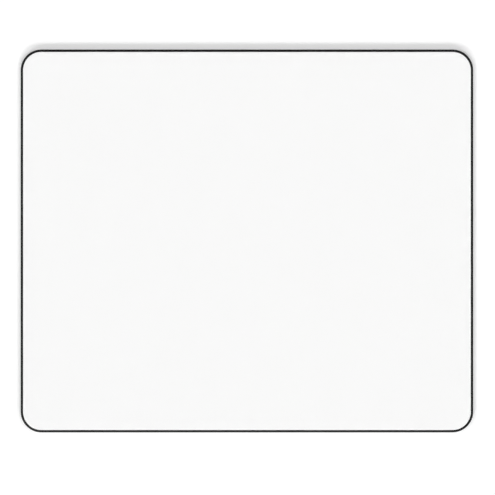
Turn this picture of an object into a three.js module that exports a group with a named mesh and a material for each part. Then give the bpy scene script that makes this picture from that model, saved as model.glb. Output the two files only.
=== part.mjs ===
// Flat mouse pad, in millimetres, +Z up. The origin is at the middle of the underside,
// +X runs along the long side and +Y towards the back edge.
// Four sheets are bonded face to face: a grip sole, a sponge base, an adhesive film and a knit cloth.
import * as THREE from "three";

// Plan of the pad
const padWidth = 230; // left to right, at the foot
const padDepth = 194.6; // front to back, at the foot
const cornerRadius = 10.5; // of the foot, seen from above
const rimWidth = 1.25; // black rubber that shows all round the cloth, seen from above

// Thickness of each sheet, from the table up
const soleThickness = 0.5;
const spongeThickness = 2;
const filmThickness = 0.1;
const clothThickness = 0.4;

// Forms of the cut edges
const soleFootRound = 0.2; // radius where the sole meets the table
const spongeWallHeight = 0.5; // upright part of the sponge's edge, below its round shoulder
const clothEdgeRound = 0.15; // radius where the cut edge of the cloth turns over

// Fineness of the round stretches
const cornerSteps = 12; // chords in each corner of the plan
const edgeSteps = 6; // chords in each rounded edge

const quarterTurn = Math.PI / 2;

// Rounded rectangle that lies this far inside the foot, counterclockwise seen from above
function outlineAt(inset) {
  const radius = cornerRadius - inset;
  const centreX = padWidth / 2 - cornerRadius;
  const centreY = padDepth / 2 - cornerRadius;
  const outline = new THREE.Shape();
  outline.absarc(centreX, -centreY, radius, -quarterTurn, 0);
  outline.absarc(centreX, centreY, radius, 0, quarterTurn);
  outline.absarc(-centreX, centreY, radius, quarterTurn, 2 * quarterTurn);
  outline.absarc(-centreX, -centreY, radius, 2 * quarterTurn, 3 * quarterTurn);
  // A shape gives each arc two points for every division
  return outline.getPoints(cornerSteps / 2);
}

// Quarter ellipse of an edge profile, climbing from the given angle about its centre.
// In a profile x is the inset from the foot and y is the height.
function roundedEdge(inset, height, across, up, startAngle) {
  const endAngle = startAngle - quarterTurn;
  const arc = new THREE.EllipseCurve(inset, height, across, up, startAngle, endAngle, true);
  return arc.getPoints(edgeSteps);
}

// Closed sheet whose edge follows a profile from its lower face to its upper face
function sheetGeometry(profile) {
  const rings = profile.map((step) =>
    outlineAt(step.x).map((point) => new THREE.Vector3(point.x, point.y, step.y)),
  );
  const ringSize = rings[0].length;
  const topRing = (rings.length - 1) * ringSize;
  const triangles = [];
  for (let ring = 0; ring < topRing; ring += ringSize) {
    for (let side = 0; side < ringSize; side++) {
      const here = ring + side;
      const next = ring + ((side + 1) % ringSize);
      triangles.push(here, next, next + ringSize);
      triangles.push(here, next + ringSize, here + ringSize);
    }
  }
  for (const [a, b, c] of THREE.ShapeUtils.triangulateShape(outlineAt(profile[0].x), [])) {
    triangles.push(c, b, a);
    triangles.push(topRing + a, topRing + b, topRing + c);
  }
  const geometry = new THREE.BufferGeometry().setFromPoints(rings.flat());
  geometry.setIndex(triangles);
  geometry.computeVertexNormals();
  return geometry;
}

function sheet(name, profile, material) {
  const mesh = new THREE.Mesh(sheetGeometry(profile), material);
  mesh.name = name;
  return mesh;
}

// Dense rubber skin under the sponge, with a round foot
function gripSole() {
  const foot = roundedEdge(
    soleFootRound,
    soleFootRound,
    soleFootRound,
    soleFootRound,
    3 * quarterTurn,
  );
  const profile = [...foot, new THREE.Vector2(0, soleThickness)];
  const rubber = new THREE.MeshStandardMaterial({
    color: 0x1e1e1f,
    roughness: 0.75,
    metalness: 0,
  });
  return sheet("grip_sole", profile, rubber);
}

// Sponge rubber sheet: an upright wall, then a round shoulder that draws in to the edge of the cloth
function spongeBase() {
  const shoulderHeight = spongeThickness - spongeWallHeight;
  const shoulder = roundedEdge(
    rimWidth,
    spongeWallHeight,
    rimWidth,
    shoulderHeight,
    2 * quarterTurn,
  );
  const profile = [new THREE.Vector2(0, 0), ...shoulder];
  const sponge = new THREE.MeshStandardMaterial({
    color: 0x232324,
    roughness: 0.92,
    metalness: 0,
  });
  return sheet("sponge_base", profile, sponge);
}

// Hot-melt film between the sponge and the cloth
function adhesiveFilm() {
  const profile = [new THREE.Vector2(rimWidth, 0), new THREE.Vector2(rimWidth, filmThickness)];
  const hotMelt = new THREE.MeshStandardMaterial({
    color: 0xd9d6cc,
    roughness: 0.45,
    metalness: 0,
  });
  return sheet("adhesive_film", profile, hotMelt);
}

// White knit face cloth, whose cut edge turns over a little
function clothTop() {
  const turnover = roundedEdge(
    rimWidth + clothEdgeRound,
    clothThickness - clothEdgeRound,
    clothEdgeRound,
    clothEdgeRound,
    2 * quarterTurn,
  );
  const profile = [new THREE.Vector2(rimWidth, 0), ...turnover];
  const knit = new THREE.MeshStandardMaterial({
    color: 0xf7f7f6,
    roughness: 0.95,
    metalness: 0,
  });
  return sheet("cloth_top", profile, knit);
}

const mousePad = new THREE.Group();
let bondHeight = 0;
for (const [layer, thickness] of [
  [gripSole(), soleThickness],
  [spongeBase(), spongeThickness],
  [adhesiveFilm(), filmThickness],
  [clothTop(), clothThickness],
]) {
  layer.position.z = bondHeight;
  // Vertices are 32-bit, so the stack adds 32-bit heights and bonded faces share one plane
  bondHeight += Math.fround(thickness);
  mousePad.add(layer);
}

export default mousePad;
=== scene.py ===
import math
from itertools import accumulate

import bmesh
import bpy
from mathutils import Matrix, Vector
from mathutils.geometry import delaunay_2d_cdt


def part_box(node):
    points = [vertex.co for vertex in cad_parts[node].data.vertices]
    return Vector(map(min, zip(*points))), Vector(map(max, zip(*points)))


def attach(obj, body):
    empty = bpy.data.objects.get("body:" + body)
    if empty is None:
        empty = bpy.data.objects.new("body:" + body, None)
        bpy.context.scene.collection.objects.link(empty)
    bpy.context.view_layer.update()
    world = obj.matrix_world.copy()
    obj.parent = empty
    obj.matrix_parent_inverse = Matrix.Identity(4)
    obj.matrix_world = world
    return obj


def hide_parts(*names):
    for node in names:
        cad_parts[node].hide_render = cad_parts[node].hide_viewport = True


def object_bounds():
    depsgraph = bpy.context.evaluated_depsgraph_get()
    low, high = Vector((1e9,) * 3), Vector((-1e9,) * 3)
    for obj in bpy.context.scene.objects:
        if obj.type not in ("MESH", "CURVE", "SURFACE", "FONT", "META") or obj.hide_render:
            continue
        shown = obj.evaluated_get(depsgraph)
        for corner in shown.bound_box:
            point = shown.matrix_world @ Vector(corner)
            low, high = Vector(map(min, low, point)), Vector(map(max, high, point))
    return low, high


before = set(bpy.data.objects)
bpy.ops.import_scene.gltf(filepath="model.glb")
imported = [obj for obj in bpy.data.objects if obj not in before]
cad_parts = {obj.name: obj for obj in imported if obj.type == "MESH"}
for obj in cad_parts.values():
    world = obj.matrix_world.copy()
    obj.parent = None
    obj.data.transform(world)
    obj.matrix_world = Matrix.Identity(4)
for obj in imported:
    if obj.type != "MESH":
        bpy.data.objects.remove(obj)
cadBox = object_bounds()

# all sizes are in metres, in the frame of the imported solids
mm = 0.001
# the export bakes through a map of this name, one tile of it at full size
bakeMap = "OFBake"  # the pieces' own map, laid out in tiles on which their patterns repeat
print("frame loaded:", ", ".join(sorted(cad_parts)))


def backmostSpots(node):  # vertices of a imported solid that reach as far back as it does
    slack = 0.001 * mm
    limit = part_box(node)[1].y - slack
    return [v.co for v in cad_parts[node].data.vertices if v.co.y > limit]


def readPlan():  # the pad's plan and the heights of its edge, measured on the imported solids
    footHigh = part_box("grip_sole")[1]
    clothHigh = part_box("cloth_top")[1]
    soleBack = backmostSpots("grip_sole")
    spongeBack = backmostSpots("sponge_base")
    return {
        "halfWidth": footHigh.x,
        "halfDepth": footHigh.y,
        "cornerRadius": footHigh.x - max(spot.x for spot in soleBack),
        "rim": footHigh.x - clothHigh.x,
        "footRound": min(spot.z for spot in soleBack) - cadBox[0].z,
        "shoulderFoot": max(spot.z for spot in spongeBack),  # the wall ends and the shoulder starts
    }


plan = readPlan()
fineness = {
    "sideStep": 4 * mm,  # longest stretch between points on a straight side
    "cornerSteps": 16,
    "gridMargin": 0.6,  # steps of a flat face's grid that stay free along its border
}
print("plan in mm:", {name: round(size / mm, 3) for name, size in plan.items()})


def outlinePoints(inset):  # rounded rectangle inside the foot, counterclockwise from above
    centreX = plan["halfWidth"] - plan["cornerRadius"]
    centreY = plan["halfDepth"] - plan["cornerRadius"]
    radius = plan["cornerRadius"] - inset
    corners = [(centreX, -centreY), (centreX, centreY), (-centreX, centreY), (-centreX, -centreY)]
    points = []
    for turn, (cornerX, cornerY) in enumerate(corners):
        for step in range(fineness["cornerSteps"] + 1):
            angle = (turn - 1 + step / fineness["cornerSteps"]) * math.pi / 2
            x = cornerX + radius * math.cos(angle)
            y = cornerY + radius * math.sin(angle)
            points.append(Vector((x, y)))
        sideEnd = points[-1]
        sideRun = Vector(corners[(turn + 1) % len(corners)]) - Vector((cornerX, cornerY))
        sideSteps = math.ceil(sideRun.length / fineness["sideStep"])
        for step in range(1, sideSteps):
            points.append(sideEnd + sideRun * step / sideSteps)
    return points


def depthInside(x, y):  # how far a spot lies inside the foot's outline
    overX = abs(x) - plan["halfWidth"] + plan["cornerRadius"]
    overY = abs(y) - plan["halfDepth"] + plan["cornerRadius"]
    outside = math.hypot(max(overX, 0), max(overY, 0)) + min(max(overX, overY), 0)
    return plan["cornerRadius"] - outside


fromSide = 2  # quarter turns at which the arc of an edge starts
fromBelow = 3


def arcProfile(inset, height, across, up, start, steps):  # quarter ellipse, up from its start
    angles = [(start - step / steps) * math.pi / 2 for step in range(steps + 1)]
    return [(inset + across * math.cos(a), height + up * math.sin(a)) for a in angles]


def startSheet():
    bm = bmesh.new()
    bm.loops.layers.uv.new(bakeMap)
    return bm


def loftEdge(bm, profile):  # walls through the outline at each (inset, height), bottom first
    rings = []
    walls = []
    for inset, height in profile:
        rings.append([bm.verts.new((p.x, p.y, height)) for p in outlinePoints(inset)])
    for lower, upper in zip(rings, rings[1:]):
        for i in range(len(lower)):
            j = (i + 1) % len(lower)
            walls.append(bm.faces.new((lower[i], lower[j], upper[j], upper[i])))
    return rings, walls


def triangulate(border, loops):  # triangles between a border and closed loops or lone spots in it
    spots = list(border)
    edges = [(i, (i + 1) % len(border)) for i in range(len(border))]
    for loop in loops:
        first = len(spots)
        spots.extend(loop)
        if len(loop) > 1:
            edges.extend((first + i, first + (i + 1) % len(loop)) for i in range(len(loop)))
    insideOnly = 1  # nothing past the border
    weld = 1e-7  # in mm, far less than any two spots lie apart
    scaled = [spot / mm for spot in spots]
    _, _, faces, sources, _, _ = delaunay_2d_cdt(scaled, edges, [], insideOnly, weld)
    origin = [source[0] for source in sources]
    return [[origin[i] for i in face] for face in faces]


def mapFlat(bm, faces, tile, side):  # side is 1 for faces that look up and -1 for those that look down
    mapLayer = bm.loops.layers.uv[bakeMap]
    for face in faces:
        for loop in face.loops:
            loop[mapLayer].uv = (side * loop.vert.co.x / tile, loop.vert.co.y / tile)


def mapWalls(bm, walls, grid, tile):  # grid has each ring's flat spots, the first again at the end
    mapLayer = bm.loops.layers.uv[bakeMap]
    for number, face in enumerate(walls):
        level, i = divmod(number, len(grid[0]) - 1)
        spots = (grid[level][i], grid[level][i + 1], grid[level + 1][i + 1], grid[level + 1][i])
        for loop, spot in zip(face.loops, spots):
            loop[mapLayer].uv = spot / tile


def unfoldEdge(profile):  # the edge laid flat, straight on from the top face
    climbs = [math.dist(a, b) for a, b in zip(profile, profile[1:])]
    grid = []
    for level in range(len(profile)):
        spots = outlinePoints(profile[-1][0] - sum(climbs[level:]))
        grid.append(spots + spots[:1])
    return grid


def unrollEdge(profile, tile):  # the edge laid out as a strip that is a whole number of tiles long
    foot = outlinePoints(0)
    runs = [0, *accumulate((b - a).length for a, b in zip(foot, foot[1:] + foot[:1]))]
    fit = tile * round(runs[-1] / tile) / runs[-1]
    climbs = [0, *accumulate(math.dist(a, b) for a, b in zip(profile, profile[1:]))]
    return [[Vector((run * fit, climb)) for run in runs] for climb in climbs]


def fillFlat(bm, ring, gridStep, tile, side):  # closes a ring with a flat face on an even grid
    height = ring[0].co.z
    border = [v.co.xy for v in ring]
    clear = depthInside(*border[0]) + fineness["gridMargin"] * gridStep
    countX = int(plan["halfWidth"] / gridStep)
    countY = int(plan["halfDepth"] / gridStep)
    spots = []
    for i in range(-countX, countX + 1):
        for j in range(-countY, countY + 1):
            if depthInside(i * gridStep, j * gridStep) > clear:
                spots.append([Vector((i * gridStep, j * gridStep))])
    verts = list(ring) + [bm.verts.new((spot[0].x, spot[0].y, height)) for spot in spots]
    faces = [bm.faces.new([verts[i] for i in face[::side]]) for face in triangulate(border, spots)]
    mapFlat(bm, faces, tile, side)


def makePiece(name, node, bm, material, sharpAngle):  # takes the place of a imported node
    mesh = bpy.data.meshes.new(name)
    bm.normal_update()
    bm.to_mesh(mesh)
    bm.free()
    mesh.polygons.foreach_set("use_smooth", [True] * len(mesh.polygons))
    mesh.set_sharp_from_angle(angle=math.radians(sharpAngle))
    mesh.materials.append(material)
    piece = bpy.data.objects.new(name, mesh)
    bpy.context.scene.collection.objects.link(piece)
    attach(piece, "root")
    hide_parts(node)
    print(name, "has", len(mesh.polygons), "faces")
    return piece


def startMaterial(name):
    material = bpy.data.materials.new(name)
    material.use_nodes = True
    tree = material.node_tree
    return material, tree, tree.nodes["Principled BSDF"]


def addNode(tree, kind, **settings):
    node = tree.nodes.new("ShaderNode" + kind)
    for name, value in settings.items():
        setattr(node, name, value)
    return node


def addMath(tree, operation, *values):  # each value is a number or another node's output
    node = addNode(tree, "Math", operation=operation)
    for socket, value in zip(node.inputs, values):
        if isinstance(value, (int, float)):
            socket.default_value = value
        else:
            tree.links.new(value, socket)
    return node.outputs["Value"]


def addRange(tree, value, onto, span=(0, 1)):  # stretches a span of the value onto two numbers
    node = addNode(tree, "MapRange")
    tree.links.new(value, node.inputs["Value"])
    for socket, number in zip(node.inputs[1:5], (*span, *onto)):
        socket.default_value = number
    return node.outputs["Result"]


def addTint(tree, amount, dark, light):  # colour between dark and light
    node = addNode(tree, "ValToRGB")
    node.color_ramp.elements[0].color = (*dark, 1)
    node.color_ramp.elements[1].color = (*light, 1)
    tree.links.new(amount, node.inputs["Fac"])
    return node.outputs["Color"]


def addBump(tree, height, relief):  # relief is the real depth of the pattern
    node = addNode(tree, "Bump")
    node.inputs["Strength"].default_value = 1
    node.inputs["Distance"].default_value = relief
    tree.links.new(height, node.inputs["Height"])
    return node.outputs["Normal"]


def tileAxes(tree):  # place on the piece's map, in tiles
    place = addNode(tree, "UVMap", uv_map=bakeMap)
    split = addNode(tree, "SeparateXYZ")
    tree.links.new(place.outputs["UV"], split.inputs["Vector"])
    return split.outputs["X"], split.outputs["Y"]


def tileTexture(tree, kind, tile, grain, **settings):  # runs on two circles, so it repeats with the tile
    turns = [addMath(tree, "MULTIPLY", axis, 2 * math.pi) for axis in tileAxes(tree)]
    x, y, z, w = [addMath(tree, way, turn) for turn in turns for way in ("COSINE", "SINE")]
    join = addNode(tree, "CombineXYZ")
    for socket, axis in zip(join.inputs, (x, y, z)):
        tree.links.new(axis, socket)
    texture = addNode(tree, kind, **settings)
    tree.links.new(join.outputs["Vector"], texture.inputs["Vector"])
    tree.links.new(w, texture.inputs["W"])
    texture.inputs["Scale"].default_value = tile / (2 * math.pi * grain)
    return texture


def tileNoise(tree, tile, grain, detail):
    noise = tileTexture(tree, "TexNoise", tile, grain, noise_dimensions="4D")
    noise.inputs["Detail"].default_value = detail
    return noise


# white knit face cloth, with its cut edge pinched down and turned over
knitCloth = {
    "edgeDroop": 0.015 * mm,  # how far the die has pinched the edge down
    "droopReach": 1.2 * mm,
    "droopSteps": (0.3, 0.6, 1),  # shares of the reach
    "edgeRound": 0.12 * mm,
    "roundSteps": 5,
    "sharpAngle": 50,
    "gridStep": 6 * mm,
    "tile": 9 * mm,  # the stitches repeat after this
    "wales": 15,  # stitch columns in a tile
    "courses": 20,  # stitch rows in a tile
    "slant": 1.25,  # rows that a stitch's leg climbs from the middle of its column to the side
    "legDip": 0.6,  # how far the yarn falls off between two rows, as a share of its height
    "wobble": 0.16,  # how far yarns wander, in columns
    "wobbleGrain": 0.9 * mm,
    "wobbleDetail": 1,
    "strands": 3,  # filaments seen across a leg
    "strandRelief": 0.035,  # share of the stitch's own relief
    "relief": 0.055 * mm,
    "hollowShadeSpan": (0.1, 0.6),  # heights in a stitch over which the painted shade of the hollows gives way to the yarn's colour
    # painted shade: the hollows between stitches are a darker copy of the yarn's white
    "shadedHollowColour": (0.88, 0.88, 0.877),
    "yarnColour": (0.99, 0.99, 0.987),
    "roughness": (0.98, 0.86),  # in the hollows and on the yarn
    "gloss": 0.25,
    "sheen": 0.08,
    "sheenRoughness": 0.4,
}


def clothMaterial(cloth):
    material, tree, shader = startMaterial("white knit")
    wander = tileNoise(tree, cloth["tile"], cloth["wobbleGrain"], cloth["wobbleDetail"])
    sway = addNode(tree, "SeparateXYZ")
    tree.links.new(wander.outputs["Color"], sway.inputs["Vector"])
    across, up = tileAxes(tree)
    column = addMath(tree, "MULTIPLY", across, cloth["wales"])
    column = addMath(tree, "MULTIPLY_ADD", sway.outputs["X"], cloth["wobble"], column)
    row = addMath(tree, "MULTIPLY", up, cloth["courses"])
    row = addMath(tree, "MULTIPLY_ADD", sway.outputs["Y"], cloth["wobble"], row)
    # two legs make a column: each is round across and slants up to the column's side
    fromMiddle = addMath(tree, "PINGPONG", column, 0.5)  # 0 in the middle of a column, 0.5 at its side
    fromLeg = addMath(tree, "MULTIPLY_ADD", fromMiddle, 4, -1)  # 0 along a leg, 1 off at either side
    taper = addMath(tree, "SQRT", addMath(tree, "SUBTRACT", 1, addMath(tree, "POWER", fromLeg, 2)))
    climb = addMath(tree, "FRACT", addMath(tree, "MULTIPLY_ADD", fromMiddle, -2 * cloth["slant"], row))
    legRound = addMath(tree, "SINE", addMath(tree, "MULTIPLY", climb, math.pi))
    legHeight = addMath(tree, "MULTIPLY_ADD", legRound, cloth["legDip"], 1 - cloth["legDip"])
    stitch = addMath(tree, "MULTIPLY", taper, legHeight)
    strand = addMath(tree, "SINE", addMath(tree, "MULTIPLY", climb, 2 * math.pi * cloth["strands"]))
    height = addMath(tree, "MULTIPLY_ADD", strand, cloth["strandRelief"], stitch)
    # painted shade: the colour darkens from the yarn's white down into the hollows
    shadeFade = addRange(tree, stitch, (0, 1), cloth["hollowShadeSpan"])
    colour = addTint(tree, shadeFade, cloth["shadedHollowColour"], cloth["yarnColour"])
    tree.links.new(colour, shader.inputs["Base Color"])
    tree.links.new(addRange(tree, stitch, cloth["roughness"]), shader.inputs["Roughness"])
    tree.links.new(addBump(tree, height, cloth["relief"]), shader.inputs["Normal"])
    shader.inputs["Specular IOR Level"].default_value = cloth["gloss"]
    shader.inputs["Sheen Weight"].default_value = cloth["sheen"]
    shader.inputs["Sheen Roughness"].default_value = cloth["sheenRoughness"]
    return material


def makeCloth(cloth):
    low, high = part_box("cloth_top")
    rim = plan["rim"]
    curl = cloth["edgeRound"]
    lip = high.z - cloth["edgeDroop"]
    profile = [(rim, low.z)]
    profile += arcProfile(rim + curl, lip - curl, curl, curl, fromSide, cloth["roundSteps"])
    for share in cloth["droopSteps"]:  # the droop eases out into the flat face
        height = lip + cloth["edgeDroop"] * (1 - (1 - share) ** 2)
        profile.append((rim + curl + share * cloth["droopReach"], height))
    bm = startSheet()
    rings, walls = loftEdge(bm, profile)
    mapWalls(bm, walls, unfoldEdge(profile), cloth["tile"])
    fillFlat(bm, rings[0], cloth["gridStep"], cloth["tile"], -1)
    fillFlat(bm, rings[-1], cloth["gridStep"], cloth["tile"], 1)
    material = clothMaterial(cloth)
    piece = makePiece("knit_cloth", "cloth_top", bm, material, cloth["sharpAngle"])


makeCloth(knitCloth)
print("knit cloth made")


# hot-melt film, which keeps its own solid
hotMelt = {
    "thinColour": (0.55, 0.53, 0.48),
    "thickColour": (0.68, 0.66, 0.6),
    "cloudSize": 2.5 * mm,
    "cloudDetail": 3,
    "roughness": (0.35, 0.6),  # where thin and where thick
}


def finishFilm(melt):
    material, tree, shader = startMaterial("hot melt film")
    place = addNode(tree, "TexCoord")
    cloud = addNode(tree, "TexNoise")
    tree.links.new(place.outputs["Object"], cloud.inputs["Vector"])
    cloud.inputs["Scale"].default_value = 1 / melt["cloudSize"]
    cloud.inputs["Detail"].default_value = melt["cloudDetail"]
    amount = cloud.outputs["Fac"]
    colour = addTint(tree, amount, melt["thinColour"], melt["thickColour"])
    tree.links.new(colour, shader.inputs["Base Color"])
    tree.links.new(addRange(tree, amount, melt["roughness"]), shader.inputs["Roughness"])
    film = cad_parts["adhesive_film"]
    film.data.materials.clear()
    film.data.materials.append(material)


finishFilm(hotMelt)
print("adhesive film finished")


# sponge rubber sheet, whose rounded edge is the dark rim round the cloth
spongeSheet = {
    "shoulderSteps": 10,
    "bondGroove": 0.05 * mm,  # fine line where the sponge meets the sole
    "sharpAngle": 40,
    "gridStep": 10 * mm,
    "tile": 24 * mm,  # the pores repeat after this
    "poreGrain": 0.16 * mm,
    "pinholeGrain": 0.08 * mm,
    "poreSpan": (0.2, 0.65),  # a pore's bottom and mouth, in grains from its middle
    "poreDepth": 0.05 * mm,
    # painted shade: the pores are a darker copy of the skin's black
    "poreShadeColour": (0.01, 0.01, 0.01),
    "skinColour": (0.028, 0.028, 0.0285),
    "mottleGrain": 4 * mm,
    "mottleDetail": 4,
    "mottle": (0.6, 1.1),  # darkest and lightest patches, as shares of the skin's tone
    "roughness": (0.98, 0.84),  # in the pores and on the skin
    "gloss": 0.08,  # sponge hardly shines
}


def spongeMaterial(sponge):
    material, tree, shader = startMaterial("black sponge rubber")
    walls = []  # 0 in a pore, 1 on the skin between
    for grain in (sponge["poreGrain"], sponge["pinholeGrain"]):
        cells = tileTexture(tree, "TexVoronoi", sponge["tile"], grain, voronoi_dimensions="4D")
        walls.append(addRange(tree, cells.outputs["Distance"], (0, 1), sponge["poreSpan"]))
    wall = addMath(tree, "MULTIPLY", *walls)
    patches = tileNoise(tree, sponge["tile"], sponge["mottleGrain"], sponge["mottleDetail"])
    mottle = addRange(tree, patches.outputs["Fac"], sponge["mottle"])
    # painted shade in the pores, times the skin's random mottle
    poreShadeAndMottle = addMath(tree, "MULTIPLY", wall, mottle)
    colour = addTint(tree, poreShadeAndMottle, sponge["poreShadeColour"], sponge["skinColour"])
    tree.links.new(colour, shader.inputs["Base Color"])
    tree.links.new(addRange(tree, wall, sponge["roughness"]), shader.inputs["Roughness"])
    tree.links.new(addBump(tree, wall, sponge["poreDepth"]), shader.inputs["Normal"])
    shader.inputs["Specular IOR Level"].default_value = sponge["gloss"]
    return material


def makeSponge(sponge):
    low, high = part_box("sponge_base")
    rim = plan["rim"]
    groove = sponge["bondGroove"]
    shoulder = plan["shoulderFoot"]
    profile = [(groove, low.z), (0, low.z + groove)]
    profile += arcProfile(rim, shoulder, rim, high.z - shoulder, fromSide, sponge["shoulderSteps"])
    bm = startSheet()
    rings, walls = loftEdge(bm, profile)
    mapWalls(bm, walls, unrollEdge(profile, sponge["tile"]), sponge["tile"])
    fillFlat(bm, rings[0], sponge["gridStep"], sponge["tile"], -1)
    fillFlat(bm, rings[-1], sponge["gridStep"], sponge["tile"], 1)
    material = spongeMaterial(sponge)
    piece = makePiece("sponge_sheet", "sponge_base", bm, material, sponge["sharpAngle"])


makeSponge(spongeSheet)
print("sponge sheet made")


# dense rubber skin underneath, embossed with a honeycomb of shallow pockets
gripSkin = {
    "roundSteps": 4,
    "sharpAngle": 30,
    "pitch": 4 * mm,  # from pocket to pocket
    "ridge": 0.9 * mm,  # rubber between two pockets
    "pocketDepth": 0.22 * mm,
    "lip": 0.08 * mm,  # bevel round a pocket's mouth
    "draft": 0.12 * mm,  # how far a pocket narrows on its way up
    "plainMargin": 4 * mm,
    "gridStep": 10 * mm,
    "tile": 24 * mm,  # the grain repeats after this
    "grain": 0.12 * mm,
    "grainDetail": 2,
    "grainSpan": (0.3, 0.7),  # part of the noise that the grain uses
    "grainDepth": 0.01 * mm,
    "darkColour": (0.008, 0.008, 0.0085),
    "greyColour": (0.017, 0.017, 0.0175),
    "roughness": (0.68, 0.84),  # on the dark and the grey grains
    "gloss": 0.25,
}


def pocketCentres(sole):  # staggered rows, kept clear of the plain margin
    pitch = sole["pitch"]
    rowStep = pitch * math.sqrt(3) / 2
    rows = int(plan["halfDepth"] / rowStep)
    columns = int(plan["halfWidth"] / pitch)
    centres = []
    for row in range(-rows, rows + 1):
        shift = 0.5 * (row % 2)
        for column in range(-columns, columns + 1):
            centre = Vector(((column + shift) * pitch, row * rowStep))
            if depthInside(*centre) > sole["plainMargin"] + pitch / 2:
                centres.append(centre)
    return centres


def hexagon(centre, flats):  # corners of a hexagon that is this wide between its upright sides
    reach = flats / math.sqrt(3)
    angles = [(i + 0.5) * math.pi / 3 for i in range(6)]
    return [centre + reach * Vector((math.cos(a), math.sin(a))) for a in angles]


def embossPockets(bm, footRing, sole):  # closes the foot's ring with a face full of pockets
    underside = footRing[0].co.z
    border = [v.co.xy for v in footRing]
    centres = pocketCentres(sole)
    mouthWidth = sole["pitch"] - sole["ridge"]
    throatWidth = mouthWidth - 2 * sole["lip"]
    levels = [(throatWidth, sole["lip"]), (throatWidth - 2 * sole["draft"], sole["pocketDepth"])]
    mouths = [hexagon(centre, mouthWidth) for centre in centres]
    sides = len(mouths[0])
    verts = list(footRing)
    for mouth in mouths:
        verts.extend(bm.verts.new((p.x, p.y, underside)) for p in mouth)
    faces = []
    for face in triangulate(border, mouths):
        owners = {(i - len(border)) // sides for i in face}
        if len(owners) > 1 or min(face) < len(border):  # leaves the pockets open
            faces.append(bm.faces.new([verts[i] for i in face[::-1]]))
    for number, centre in enumerate(centres):
        first = len(border) + sides * number
        lower = verts[first:first + sides]
        for width, height in levels:  # from the mouth up to the roof
            upper = [bm.verts.new((p.x, p.y, underside + height)) for p in hexagon(centre, width)]
            for i in range(sides):
                j = (i + 1) % sides
                faces.append(bm.faces.new((lower[j], lower[i], upper[i], upper[j])))
            lower = upper
        faces.append(bm.faces.new(lower[::-1]))
    mapFlat(bm, faces, sole["tile"], -1)
    print("pockets embossed:", len(centres))


def soleMaterial(sole):
    material, tree, shader = startMaterial("black grip rubber")
    noise = tileNoise(tree, sole["tile"], sole["grain"], sole["grainDetail"])
    grain = addRange(tree, noise.outputs["Fac"], (0, 1), sole["grainSpan"])
    colour = addTint(tree, grain, sole["darkColour"], sole["greyColour"])
    tree.links.new(colour, shader.inputs["Base Color"])
    tree.links.new(addRange(tree, grain, sole["roughness"]), shader.inputs["Roughness"])
    tree.links.new(addBump(tree, grain, sole["grainDepth"]), shader.inputs["Normal"])
    shader.inputs["Specular IOR Level"].default_value = sole["gloss"]
    return material


def makeSole(sole):
    low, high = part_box("grip_sole")
    foot = plan["footRound"]
    profile = arcProfile(foot, low.z + foot, foot, foot, fromBelow, sole["roundSteps"])
    profile.append((0, high.z))
    bm = startSheet()
    rings, walls = loftEdge(bm, profile)
    mapWalls(bm, walls, unrollEdge(profile, sole["tile"]), sole["tile"])
    embossPockets(bm, rings[0], sole)
    fillFlat(bm, rings[-1], sole["gridStep"], sole["tile"], 1)
    makePiece("grip_skin", "grip_sole", bm, soleMaterial(sole), sole["sharpAngle"])


makeSole(gripSkin)
print("grip skin made")


# white studio floor that keeps the shadow
studio = {
    "floorReach": 40,  # metres to each side of the pad
    "floorDrop": 0.01 * mm,
    "bounceColour": 0.8,  # grey of the floor for the light that it throws back
    "floorGlow": 0.04,  # keeps the unshaded floor at full white
    "worldFill": 0.06,
}


def seenDirectly(tree):  # 1 for rays that show the backdrop, straight or in a reflection
    path = addNode(tree, "LightPath")
    seen = addMath(tree, "MAXIMUM", path.outputs["Is Camera Ray"], path.outputs["Is Glossy Ray"])
    return addMath(tree, "MAXIMUM", seen, path.outputs["Is Transmission Ray"])


def floorMaterial(room):
    material, tree, shader = startMaterial("white floor")
    tree.nodes.remove(shader)
    seen = seenDirectly(tree)
    paint = addNode(tree, "BsdfDiffuse")
    tree.links.new(addRange(tree, seen, (room["bounceColour"], 1)), paint.inputs["Color"])
    glow = addNode(tree, "Emission")
    tree.links.new(addRange(tree, seen, (0, room["floorGlow"])), glow.inputs["Strength"])
    both = addNode(tree, "AddShader")
    tree.links.new(paint.outputs["BSDF"], both.inputs[0])
    tree.links.new(glow.outputs["Emission"], both.inputs[1])
    tree.links.new(both.outputs["Shader"], tree.nodes["Material Output"].inputs["Surface"])
    return material


def makeFloor(room):
    reach = room["floorReach"]
    height = cadBox[0].z - room["floorDrop"]
    corners = [(-reach, -reach), (reach, -reach), (reach, reach), (-reach, reach)]
    mesh = bpy.data.meshes.new("studio_floor")
    mesh.from_pydata([(x, y, height) for x, y in corners], [], [(0, 1, 2, 3)])
    mesh.materials.append(floorMaterial(room))
    floor = bpy.data.objects.new("studio_floor", mesh)
    bpy.context.scene.collection.objects.link(floor)


def makeWorld(room):
    world = bpy.data.worlds.new("white studio")
    bpy.context.scene.world = world
    world.use_nodes = True
    tree = world.node_tree
    strength = addRange(tree, seenDirectly(tree), (room["worldFill"], 1))
    tree.links.new(strength, tree.nodes["Background"].inputs["Strength"])
    tree.nodes["Background"].inputs["Color"].default_value = (1, 1, 1, 1)


makeFloor(studio)
makeWorld(studio)
print("floor and world made")


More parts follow.
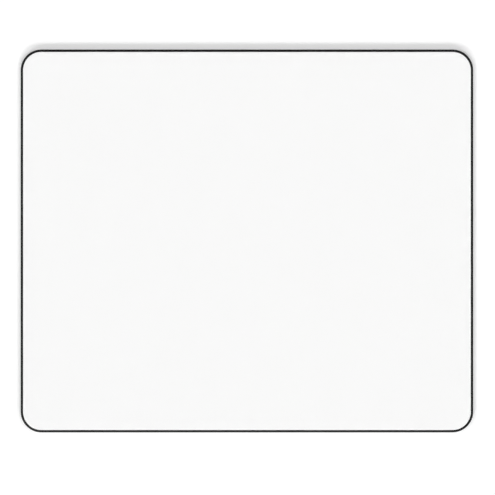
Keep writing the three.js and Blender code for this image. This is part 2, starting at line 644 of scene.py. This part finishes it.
# soft lamps, with angles in degrees: azimuth 0 is in front of the pad and 90 to its right
# shares are light on a level surface, and with the world's fill they add up to about 1
lamps = {
    "front": {"azimuth": 0, "elevation": 27, "softness": 14, "share": 0.11},
    "frontLeft": {"azimuth": -30, "elevation": 30, "softness": 12, "share": 0.14},
    "frontRight": {"azimuth": 26, "elevation": 30.5, "softness": 12, "share": 0.13},
    "left": {"azimuth": -94, "elevation": 41, "softness": 34, "share": 0.155},
    "right": {"azimuth": 92, "elevation": 41, "softness": 36, "share": 0.15},
    "top": {"azimuth": 0, "elevation": 88, "softness": 28, "share": 0.285},
}


def makeLamp(name, lamp):
    turn = math.radians(lamp["azimuth"])
    rise = math.radians(lamp["elevation"])
    sun = bpy.data.lights.new(name + "_lamp", "SUN")
    sun.angle = math.radians(lamp["softness"])
    sun.energy = math.pi * lamp["share"] / math.sin(rise)
    away = Vector((math.sin(turn) * math.cos(rise), -math.cos(turn) * math.cos(rise), math.sin(rise)))
    stand = bpy.data.objects.new(name + "_lamp", sun)
    stand.location = away  # only to show where it shines from
    stand.rotation_euler = away.to_track_quat("Z", "Y").to_euler()
    bpy.context.scene.collection.objects.link(stand)


for lampName, lampSettings in lamps.items():
    makeLamp(lampName, lampSettings)
print("lamps set:", ", ".join(lamps))


# camera straight above, far off with a long lens, so the sides of the pad stay out of sight
camera = {
    "lens": 800,
    "sensor": 36,
    "frameSide": 495,  # pixels on each side of the picture
    "padMiddle": (246.94, 240.97),  # pixel on which the middle of the pad lies
    "pixelsPerMetre": 1967.5,  # at the height of the rim
    "rimHeight": 1.5 * mm,
}


def makeCamera(view):
    data = bpy.data.cameras.new("camera")
    data.lens = view["lens"]
    data.sensor_width = view["sensor"]
    middle = view["frameSide"] / 2
    x = (middle - view["padMiddle"][0]) / view["pixelsPerMetre"]
    y = (view["padMiddle"][1] - middle) / view["pixelsPerMetre"]
    distance = view["frameSide"] * view["lens"] / view["sensor"] / view["pixelsPerMetre"]
    cam = bpy.data.objects.new("camera", data)
    cam.location = (x, y, view["rimHeight"] + distance)
    bpy.context.scene.collection.objects.link(cam)
    bpy.context.scene.camera = cam


makeCamera(camera)
bpy.context.scene.view_settings.view_transform = "Standard"
print("camera set")
